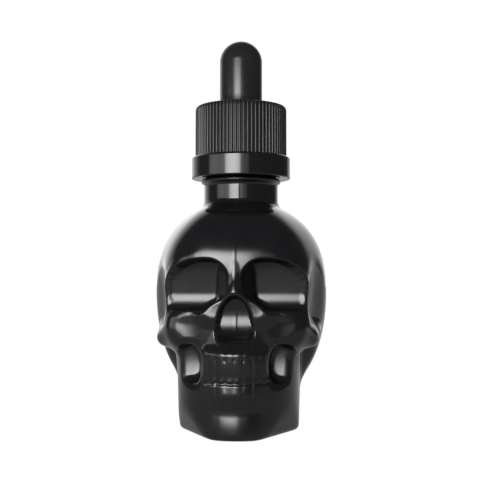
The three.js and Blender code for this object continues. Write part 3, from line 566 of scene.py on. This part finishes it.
# Break-off ring: a smooth band of glossy polypropylene that the cap leaves on the neck. A lip inside
# hooks under the glass bead, and the stubs of its snapped bridges stand on the shelf above.
def turned(name, profile, sides, shape=None, first_pole=None):
    """A turned piece: a circle drawn out ring by ring along (radius, height) points in millimetres.

    shape changes the ring just drawn, and first_pole closes the first ring at a height on the axis."""
    bpy.ops.object.select_all(action="DESELECT")
    radius, height = profile[0]
    bpy.ops.mesh.primitive_circle_add(vertices=sides, radius=radius * MM, location=(0, 0, height * MM))
    bpy.ops.object.transform_apply(location=True)
    piece = bpy.context.object
    piece.name = name
    bpy.ops.object.mode_set(mode="EDIT")
    bpy.ops.mesh.select_all(action="SELECT")
    if shape:
        shape(piece, 0)
    for number, (r, z) in enumerate(profile[1:], 1):
        lift = (z - height) * MM
        bpy.ops.mesh.extrude_region_move(TRANSFORM_OT_translate={"value": (0, 0, lift)})
        if r == 0:
            bpy.ops.mesh.merge(type="CENTER")
        else:
            bpy.ops.transform.resize(value=(r / radius, r / radius, 1))
        if shape:
            shape(piece, number)
        radius, height = r, z
    if first_pole is not None:
        net = bmesh.from_edit_mesh(piece.data)
        net.verts.ensure_lookup_table()
        for vertex in net.verts:
            vertex.select = vertex.index < sides
        net.select_flush_mode()
        bmesh.update_edit_mesh(piece.data)
        lift = (first_pole - profile[0][1]) * MM
        bpy.ops.mesh.extrude_region_move(TRANSFORM_OT_translate={"value": (0, 0, lift)})
        bpy.ops.mesh.merge(type="CENTER")
    bpy.ops.mesh.select_all(action="SELECT")
    bpy.ops.mesh.remove_doubles(threshold=MERGE_GAP * MM)
    bpy.ops.mesh.normals_make_consistent(inside=False)
    bpy.ops.object.mode_set(mode="OBJECT")
    return piece


def soften(piece, width, segments=3, sharp_over=15, smooth_under=20):
    """Rounds the piece's edges over one angle with a Bevel modifier, and smooths those under another."""
    bpy.ops.object.select_all(action="DESELECT")
    piece.select_set(True)
    bpy.context.view_layer.objects.active = piece
    bpy.ops.object.modifier_add(type="BEVEL")
    bevel = piece.modifiers[0]
    bevel.width = width * MM
    bevel.segments = segments
    bevel.limit_method = "ANGLE"
    bevel.angle_limit = math.radians(sharp_over)
    bpy.ops.object.modifier_apply(modifier=bevel.name)
    bpy.ops.object.shade_smooth_by_angle(angle=math.radians(smooth_under))


def blocks_round(count, size, middle, level, first_turn=0):
    """Small blocks set round the axis, each rounded off by a fifth of its least side."""
    bpy.ops.object.select_all(action="DESELECT")
    place = (middle * MM, 0, level * MM)
    bpy.ops.mesh.primitive_cube_add(size=1, location=place, scale=[side * MM for side in size])
    bpy.ops.object.transform_apply(location=True, scale=True)
    blocks = bpy.context.object
    soften(blocks, min(size) / 5, segments=2)
    bpy.ops.object.mode_set(mode="EDIT")
    bpy.ops.mesh.select_all(action="SELECT")
    bpy.ops.transform.rotate(value=-first_turn, orient_axis="Z", center_override=(0, 0, 0))
    turn = 2 * math.pi * (count - 1) / count
    bpy.ops.mesh.spin(steps=count - 1, dupli=True, angle=turn, center=(0, 0, 0), axis=(0, 0, 1))
    bpy.ops.object.mode_set(mode="OBJECT")
    return blocks


RING_SHELF = 63.5
RING_PROFILE = (
    (9.6, 59.6), (11.95, 59.6), (12.1, 59.75), (12.1, 59.9), (12.1, 64.35), (12.1, 64.5), (11.7, 64.9),
    (11.35, 64.9), (11.35, RING_SHELF), (9.6, RING_SHELF), (9.6, 61.5), (8.75, 61.5), (8.75, 60.45),
    (9.6, 59.6),
)
ring = turned("tamper_band", RING_PROFILE, sides=144)
soften(ring, width=0.12)
join(ring, blocks_round(count=8, size=(0.3, 0.7, 0.6), middle=9.75, level=RING_SHELF))
ring_plastic = finish(
    "ring_plastic",
    dark=(0.010, 0.010, 0.011),
    light=(0.015, 0.015, 0.016),
    mottle=lambda wire: grain(wire, 2),
    roughness=(0.09, 0.13),
    bumps=((lambda wire: grain(wire, 4, 1.0), 0.006), (lambda wire: grain(wire, 0.25), 0.0015)),
)
dress(ring, ring_plastic)
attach(ring, "tamper_ring")
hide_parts("tamper_ring")

# Inner cap: the hidden cup of the child-resistant closure, moulded in polypropylene. Its thread screws
# on the neck, its top clamps the bulb's flange on the rim, and the lugs on top are driven by the shell.
CUP_RADIUS = 9.15
CUP_TOP = 74.25
CUP_PROFILE = (
    (CUP_RADIUS, 64.1), (9.9, 64.1), (9.9, CUP_TOP), (5.45, CUP_TOP), (5.45, 73.15), (CUP_RADIUS, 73.15),
    (CUP_RADIUS, 64.1),
)
LUGS = {"count": 8, "size": (2.4, 1.6, 1.6), "middle": 7.675}
inner_cap = turned("inner_cup", CUP_PROFILE, sides=96)
soften(inner_cap, width=0.1)
inner_thread = thread_ridge(foot_radius=CUP_RADIUS, crest_radius=8.15, start_height=64.9)
join(inner_cap, inner_thread, blocks_round(**LUGS, level=CUP_TOP))
cap_plastic = finish(
    "cap_plastic",
    dark=(0.018, 0.018, 0.019),
    light=(0.028, 0.028, 0.03),
    mottle=lambda wire: grain(wire, 1.2),
    roughness=(0.28, 0.36),
    bumps=((lambda wire: grain(wire, 0.18), 0.004), (lambda wire: grain(wire, 3, 1.0), 0.006)),
)
dress(inner_cap, cap_plastic)
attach(inner_cap, "inner_cap")
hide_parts("inner_cap")

# Outer shell: the ribbed grip that the hand turns, moulded in satin polypropylene. It idles over the
# inner cap until it is pressed down, when the lugs under its top take hold.
RIB_COUNT = 72
RIB_POINTS = 12
RIB_ROOT = 10.75
RIB = {"height": 0.46, "half": 0.38, "sunk": 0.06}
SHELL_UNDERSIDE = 76.25
SHELL_PROFILE = (
    (RIB_ROOT, 64.7), (RIB_ROOT, 64.75), (RIB_ROOT, 76.2), (10.72, 76.55), (10.62, 76.85), (10.42, 77.1),
    (10.15, 77.28), (9.8, 77.35), (6, 77.35), (5.6, 77.3), (5.45, 77.15), (5.45, 76.4),
    (5.45, SHELL_UNDERSIDE), (10.1, SHELL_UNDERSIDE), (10.1, 64.8), (10.1, 64.7), (RIB_ROOT, 64.7),
)
FLAT_TOP_RING = 7


def rib_rise(point):
    """How far one point of a rib's round section stands out from the root."""
    across = (point / RIB_POINTS - 0.5) / RIB["half"]
    return RIB["height"] * math.sqrt(max(0, 1 - across ** 2)) - RIB["sunk"]


def ribs(piece, number):
    """Raises the ribs on the first ring, and smooths them away again where the top turns flat."""
    sign = {0: 1, FLAT_TOP_RING: -1, len(SHELL_PROFILE) - 1: 1}.get(number)
    if sign is None:
        return
    net = bmesh.from_edit_mesh(piece.data)
    for vertex in net.verts:
        if vertex.select:
            turn = math.atan2(vertex.co.y, vertex.co.x) / (2 * math.pi)
            rise = rib_rise(round(turn * RIB_COUNT * RIB_POINTS) % RIB_POINTS)
            factor = ((RIB_ROOT + rise) / RIB_ROOT) ** sign
            vertex.co.x *= factor
            vertex.co.y *= factor
    bmesh.update_edit_mesh(piece.data)


shell = turned("ribbed_shell", SHELL_PROFILE, sides=RIB_COUNT * RIB_POINTS, shape=ribs)
bpy.ops.object.shade_smooth_by_angle(angle=math.radians(50))
join(shell, blocks_round(**LUGS, level=SHELL_UNDERSIDE, first_turn=math.pi / LUGS["count"]))
dress(shell, cap_plastic)
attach(shell, "outer_cap")
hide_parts("outer_cap")

# Rubber bulb: a matte moulded teat. Its flange seals on the glass rim under the inner cap, its sleeve
# grips the pipette, and the domed end is squeezed to draw liquid up.
BULB_RADIUS = 5.25
BULB_HOLLOW = 4.05
DOME_FOOT = 88.35
SLEEVE_RADIUS = 3.6
FLANGE = {"radius": 8.25, "foot": 72, "top": 73.05}
NEAR_POLE = math.radians(88)


def dome(radius, from_turn, to_turn, points=20):
    turns = np.linspace(from_turn, to_turn, points)
    return [(radius * math.cos(t), DOME_FOOT + radius * math.sin(t)) for t in turns]


bulb_profile = [
    *dome(BULB_HOLLOW, NEAR_POLE, 0), (BULB_HOLLOW, 78.5), (SLEEVE_RADIUS, 78.2),
    (SLEEVE_RADIUS, FLANGE["foot"]), (FLANGE["radius"], FLANGE["foot"]), (FLANGE["radius"], FLANGE["top"]),
    (BULB_RADIUS + 0.1, FLANGE["top"]), (BULB_RADIUS, 73.2), (BULB_RADIUS, 80),
    *dome(BULB_RADIUS, 0, NEAR_POLE), (0, DOME_FOOT + BULB_RADIUS),
]
bulb = turned("rubber_teat", bulb_profile, sides=96, first_pole=DOME_FOOT + BULB_HOLLOW)
bpy.ops.object.shade_smooth_by_angle(angle=math.radians(35))
bulb_rubber = finish(
    "bulb_rubber",
    dark=(0.016, 0.016, 0.017),
    light=(0.03, 0.03, 0.031),
    mottle=lambda wire: grain(wire, 0.8, 4.0),
    roughness=(0.15, 0.21),
    bumps=((lambda wire: grain(wire, 0.12), 0.006), (lambda wire: grain(wire, 2.5, 1.0), 0.01)),
)
dress(bulb, bulb_rubber)
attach(bulb, "dropper")
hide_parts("bulb")

# Pipette: a clear glass tube with a lip that holds it in the bulb's sleeve. Its end is drawn down to a
# fine fire-polished tip that hangs just above the bottle's floor.
PIPETTE_PROFILE = (
    (0.9, 9.6), (1.1, 9.5), (1.5, 9.5), (1.7, 9.65), (1.85, 12), (3.3, 24), (3.45, 25), (3.5, 26),
    (3.5, 78.5), (3.75, 78.7), (3.8, 78.9), (3.8, 79.1), (3.7, 79.35), (3.45, 79.5), (2.6, 79.5),
    (2.4, 79.3), (2.4, 26), (2.35, 25), (2.25, 24), (1.02, 12), (0.9, 9.6),
)
pipette = turned("glass_pipette", PIPETTE_PROFILE, sides=64)
bpy.ops.object.shade_smooth_by_angle(angle=math.radians(40))
clear_glass = finish(
    "clear_glass",
    dark=(0.86, 0.91, 0.92),
    light=(0.95, 0.97, 0.97),
    mottle=lambda wire: grain(wire, 6),
    roughness=(0.01, 0.04),
    bumps=((lambda wire: grain(wire, 9, 1.0), 0.01),),
    IOR=1.5,
    Transmission_Weight=1.0,
)
dress(pipette, clear_glass)
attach(pipette, "dropper")
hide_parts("pipette")

# Camera: level with the eye sockets and a little to the right of the face. Its scale, column and row
# are those of the neck axis and the horizon in a picture of 480 by 480.
CAMERA_DISTANCE = 215
CAMERA_HEIGHT = 36
CAMERA_TURN = math.radians(4)
PIXELS_PER_MM = 4.1
IMAGE_SIZE = 480
AXIS_COLUMN = 241
HORIZON_ROW = 276
camera = bpy.data.cameras.new("camera")
viewer = bpy.data.objects.new("camera", camera)
bpy.context.scene.collection.objects.link(viewer)
reach = PIXELS_PER_MM * CAMERA_DISTANCE
camera.lens = camera.sensor_width * reach / IMAGE_SIZE
heading = CAMERA_TURN + math.atan((AXIS_COLUMN - IMAGE_SIZE / 2) / reach)
rise = (HORIZON_ROW - IMAGE_SIZE / 2) / reach
viewer.location = Vector((math.sin(CAMERA_TURN), -math.cos(CAMERA_TURN), 0)) * CAMERA_DISTANCE * MM
viewer.location.z = CAMERA_HEIGHT * MM
gaze = Vector((-math.sin(heading), math.cos(heading), rise))
viewer.rotation_euler = gaze.to_track_quat("-Z", "Y").to_euler()
bpy.context.scene.camera = viewer

# Stage: a pale floor that glows, which is painted light, in a white studio that is bright behind the bottle
# and dim in front of it, with one soft box to the front left, made of four panels. Its sizes and places are
# in metres.
FLOOR_SIZE = 6
PAPER_GREY = (0.5, 0.5, 0.5, 1)
FLOOR_GLOW = {"Color": (1, 1, 1, 1), "Strength": 1.1}
FLOOR_GLOW_FADE = {"From Min": -0.05, "From Max": 0.1, "To Min": 0.12, "To Max": 0.45}
GLOW_IN_VIEW = 0.9
bpy.ops.object.select_all(action="DESELECT")
bpy.ops.mesh.primitive_plane_add(size=FLOOR_SIZE)
floor = bpy.context.object
floor.name = "floor"
pale = bpy.data.materials.new("pale_floor")
pale.use_nodes = True
pale.node_tree.nodes.remove(pale.node_tree.nodes["Principled BSDF"])
surface = Wire(pale.node_tree)
paper = surface.node("BsdfDiffuse", {}, {"Color": PAPER_GREY})
glow = surface.node("Emission", {}, FLOOR_GLOW)
# Painted light: the floor glows though it is no lamp. The camera sees nine tenths glow, near white. In
# reflections the glow's share over the grey paper grows from front to back, so the floor is brighter behind
# the bottle.
seen = surface.node("LightPath", {}, {}, "Is Camera Ray")
behind = surface.node("SeparateXYZ", {}, {"Vector": surface.node("TexCoord", {}, {}, "Object")}, "Y")
lit = surface.node("MapRange", {}, {"Value": behind, **FLOOR_GLOW_FADE})
shown = surface.node("MixShader", {}, {0: seen * (GLOW_IN_VIEW - lit) + lit, 1: paper, 2: glow})
surface.feed(pale.node_tree.nodes["Material Output"].inputs["Surface"], shown)
dress(floor, pale)

SOFT_BOX = {"distance": 0.64, "level": 0.04, "fade_power": 0.4, "fade_gain": 1.25}


def soft_box(name, azimuths, elevations, radiance):
    """A lit panel before the face, between two bearings and two heights in degrees, fading to its edges."""
    distance = SOFT_BOX["distance"]
    left, right = (math.radians(a) for a in azimuths)
    low, high = (math.tan(math.radians(e)) for e in elevations)
    middle = (left + right) / 2
    lamp = bpy.data.lights.new(name, "AREA")
    lamp.shape = "RECTANGLE"
    lamp.size = 2 * distance * math.tan((right - left) / 2)
    lamp.size_y = distance * (high - low)
    lamp.energy = radiance * math.pi * lamp.size * lamp.size_y
    lamp.use_nodes = True
    panel = Wire(lamp.node_tree)
    place = panel.node("NewGeometry", {}, {}, "Parametric")
    across, along = (panel.node("SeparateXYZ", {}, {"Vector": place}, axis) for axis in "XY")
    # Each of the two curves is a quarter at its middle, so 16 makes the panel's middle 1.
    fade = (across - across * across) * (along - along * along) * 16
    fade = fade.math("POWER", fade, SOFT_BOX["fade_power"]) * SOFT_BOX["fade_gain"]
    panel.feed(lamp.node_tree.nodes["Emission"].inputs["Color"], fade)
    box = bpy.data.objects.new(name, lamp)
    bpy.context.scene.collection.objects.link(box)
    outward = Vector((math.sin(middle), -math.cos(middle), (low + high) / 2))
    box.location = Vector((0, 0, SOFT_BOX["level"])) + outward * distance
    box.rotation_euler = Vector((-outward.x, -outward.y, 0)).to_track_quat("-Z", "Y").to_euler()


soft_box("key", azimuths=(-42, 10), elevations=(2, 21), radiance=2.2)
soft_box("key_core", azimuths=(-33, 3), elevations=(2, 19), radiance=8.6)
soft_box("key_tail", azimuths=(-74, -38), elevations=(0, 15), radiance=1.65)
soft_box("key_edge", azimuths=(8, 22), elevations=(2, 17), radiance=0.7)

BACKDROP_WAY = (-0.23, 0.973, 0)
BACKDROP_STOPS = ((0.76, (0.08, 0.08, 0.085, 1)), (0.97, (1.6, 1.6, 1.6, 1)))
BACKDROP_IN_VIEW = (1.1, 1.1, 1.1, 1)
world = bpy.data.worlds.new("studio")
bpy.context.scene.world = world
world.use_nodes = True
studio = Wire(world.node_tree)
direction = studio.node("TexCoord", {}, {}, "Generated")
depth = studio.node("VectorMath", {"operation": "DOT_PRODUCT"}, {0: direction, 1: BACKDROP_WAY}, "Value")
backdrop = studio.node("ValToRGB", {"stops": BACKDROP_STOPS}, {"Fac": depth * 0.5 + 0.5})
seen = studio.node("LightPath", {}, {}, "Is Camera Ray")
shown = studio.mix_colours(seen, backdrop, BACKDROP_IN_VIEW)
studio.feed(world.node_tree.nodes["Background"].inputs["Color"], shown)
bpy.context.scene.view_settings.view_transform = "Standard"
